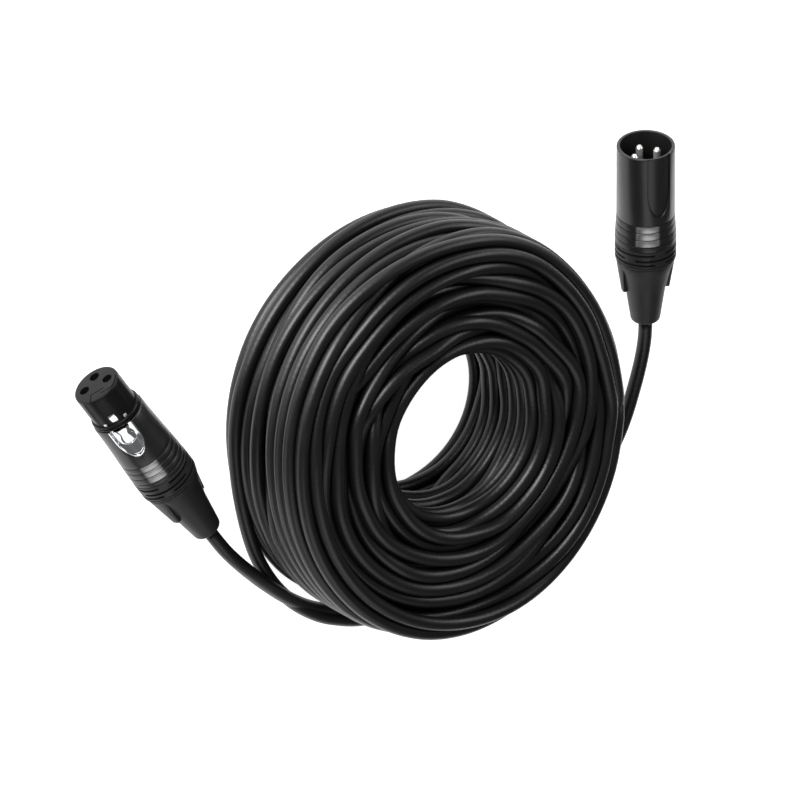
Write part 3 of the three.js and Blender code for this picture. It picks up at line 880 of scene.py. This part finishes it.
def recess_slab(half, front, straight, end, inner, outer, columns=41):
    """A slab with the recess's outline: straight sides and a pointed round end."""
    def place(u, v):
        x = half * math.sin(u * math.pi / 2)
        back = straight + (end - straight) * math.cos(u * math.pi / 2) ** 0.85
        return math.degrees(math.asin(x / 9.2)), front + v * (back - front), inner, outer
    return wrapped(np.linspace(-1, 1, columns), np.linspace(0, 1, 15), place)


def female_shell():
    outside = grooved([(9.1, 14.2), (9.1, 18.0), (9.3, 24.0), (9.55, 29.0), (9.9, 37.0), (9.9, 38.9)],
                      FEMALE_GROOVES)
    outline = [(8.3, 13.5, 0.15), (8.9, 13.5, 0.25)] + outside + [
        (9.9, 39.2), (8.1, 39.2), (8.1, 39.2 + NECK), (6.8, 39.2 + NECK), (6.8, 38.0), (8.3, 37.0),
    ]
    window = recess_slab(RECESS_HALF, 12.5, RECESS_STRAIGHT, RECESS_END, 6.5, 11)
    return softened(combine(turned(outline), [window]), 0.1)


def latch_frame():
    """The bright edge that lines the recess."""
    outer = recess_slab(RECESS_HALF - 0.02, 13.6, RECESS_STRAIGHT, RECESS_END - 0.03, 8.0, 9.16)
    inner = recess_slab(RECESS_HALF - 0.42, 12.0, RECESS_STRAIGHT, RECESS_END - 0.55, 7.0, 11)
    return softened(combine(outer, [inner]), 0.06)


def latch():
    """The push lever: a dished plate, a waisted thumb button on it and a hook that shows in the nose's window."""
    def floor(u, v):
        x = 3.9 * math.sin(u * math.pi / 2)
        back = 17.5 + 8.1 * math.cos(u * math.pi / 2) ** 0.85
        s = 13.9 + v * (back - 13.9)
        rise = max(0.0, (s - 19.5) / 6.0)
        dish = 0.7 * (abs(x) / 3.9) ** 1.3
        angle = math.asin(x / 8.0)
        return math.degrees(angle), s, 6.55 / math.cos(angle), 7.3 + 1.25 * rise + dish
    plate = wrapped(np.linspace(-1, 1, 33), np.linspace(0, 1, 25), floor)

    def button(u, v):
        s = 13.95 + 6.9 * v
        waist = 2.9 - 0.85 * math.sin(min(1.0, v / 0.62) * math.pi) ** 2
        end = 1.0 if v < 0.72 else math.sqrt(max(0.0, 1 - ((v - 0.72) / 0.28) ** 2))
        x = waist * max(end, 0.03) * u
        top = 9.0 - 0.35 * abs(u) ** 3 - 0.5 * max(0.0, (v - 0.78) / 0.22) ** 2
        return math.degrees(math.asin(x / 8.6)), s, 6.8, top
    thumb = wrapped(np.linspace(-1, 1, 21), np.concatenate([np.linspace(0, 0.72, 13), 0.72 + 0.28 * np.sin(
        np.linspace(0.1, 1, 12) * math.pi / 2)]), button)

    hook = wrapped(np.linspace(-1, 1, 9), (0, 0.12, 0.45, 1), lambda u, v: (
        math.degrees(math.asin(1.2 * u / 8.0)), 7.6 + 3.6 * v, 6.2,
        8.2 - 0.15 * (v < 0.05) - 0.25 * max(0.0, v - 0.45) / 0.55))
    arm = block(-1.1, 1.1, 6.2, 7.1, 11.0, 16)
    ears = block(-1.6, 1.6, 5.5, 6.9, 24.4, 25.8)
    hole = rod(0, 0, 0.6, -3.8, 3.8, 24)
    hole.transform(Matrix.Translation((0, 6.2, -25.2)) @ Matrix.Rotation(math.pi / 2, 4, "Y"))
    return softened(combine(combine(plate, [thumb, hook, arm, ears], "UNION"), [hole]), 0.1)


def ground_tabs():
    return merged([softened(band(side * 27, 3.9, 10.4, 11.4, 7.7, 8.2, 2.0), 0.08) for side in (-1, 1)])


def socket():
    return turned([
        (0, 14), (1.15, 14), (1.15, 4.3), (1.3, 4.0), (1.5, 4.0, 0.08), (1.5, 33), (1.0, 33), (1.0, 30.6),
        (0, 30.6),
    ], 40)


def female_plug():
    piece("female_nose", nose(), FEMALE, BLACK_PLASTIC, "cable", ["female_insert"])
    piece("female_collar", collar(), FEMALE, BLACK_PLASTIC, "cable", ["female_collar_ring"])
    # the shell gets a painted highlight band and painted shade on its lining
    shell = mark_painted_light(female_shell(), FEMALE_GROOVES, *FEMALE_PAINTED_HIGHLIGHT)
    piece("female_shell_turned", shell, FEMALE, BLACK_METAL, "cable", ["female_shell"])
    piece("female_latch_frame", latch_frame(), FEMALE, CHROME, "cable")
    piece("female_latch_lever", latch(), FEMALE, CHROME, "latch_lever", ["female_latch"], 24)
    piece("female_ground_tabs", ground_tabs(), FEMALE, CONTACTS, "cable")
    for (x, y), number in zip(CONTACT_PLACES, (1, 3, 2)):
        name = "female_socket_%d" % number
        piece(name + "_turned", socket(), FEMALE @ Matrix.Translation((x, y, 0)), CONTACTS, "cable", [name])
    rear("female", FEMALE_LENGTH, FEMALE, FEMALE_WINGS)


male_plug()
female_plug()

# ---------------------------------------------------------------- floor and light
def stage():
    mesh = bpy.data.meshes.new("floor")
    mesh.from_pydata([(-3, -3, 0), (3, -3, 0), (3, 3, 0), (-3, 3, 0)], [], [(0, 1, 2, 3)])
    mat, _, _, shader = material("floor")
    shader.inputs["Base Color"].default_value = (0.70, 0.70, 0.70, 1)
    shader.inputs["Roughness"].default_value = 0.8
    shader.inputs["Emission Color"].default_value = (1, 1, 1, 1)
    shader.inputs["Emission Strength"].default_value = 0.97
    mesh.materials.append(mat)
    add("floor", mesh)


def area_light(name, right, top, forward, size, power, distance=0.9):
    """A softbox in the direction given by the camera's right, up and backwards, facing the coil."""
    aim = Vector((COIL_CENTRE[0], COIL_CENTRE[1], COIL_HEIGHT / 2)) * MM
    direction = (VIEW_RIGHT * right + VIEW_TOP * top + VIEW_AXIS * forward).normalized()
    data = bpy.data.lights.new(name, "AREA")
    data.shape = "RECTANGLE"
    data.size, data.size_y = size
    data.energy = power
    lamp = bpy.data.objects.new(name, data)
    lamp.location = aim + direction * distance
    lamp.rotation_euler = direction.to_track_quat("Z", "Y").to_euler()
    bpy.context.collection.objects.link(lamp)


def latch_card():
    """A weak, wide light that the latch's thumb button mirrors into the camera."""
    outwards = (FEMALE.to_3x3() @ Vector((0, 1, 0))).normalized()
    mirrored = outwards * (2 * outwards.dot(VIEW_AXIS)) - VIEW_AXIS
    right, top, forward = (mirrored.dot(axis) for axis in (VIEW_RIGHT, VIEW_TOP, VIEW_AXIS))
    area_light("card", right, top, forward, (0.7, 0.7), 2.1)


def lights():
    area_light("key", -0.42, 0.42, 1.0, (0.5, 0.5), 13.0)
    area_light("rim", 1.0, 0.45, 0.35, (0.3, 0.7), 3.0)
    area_light("top", -0.2, 1.0, 0.35, (0.7, 0.3), 3.0)
    latch_card()
    world = bpy.data.worlds.new("world")
    bpy.context.scene.world = world
    world.use_nodes = True
    sky = world.node_tree.nodes["Background"]
    sky.inputs["Color"].default_value = (1, 1, 1, 1)
    sky.inputs["Strength"].default_value = 0.13


stage()
lights()
bpy.context.scene.view_settings.view_transform = "Standard"
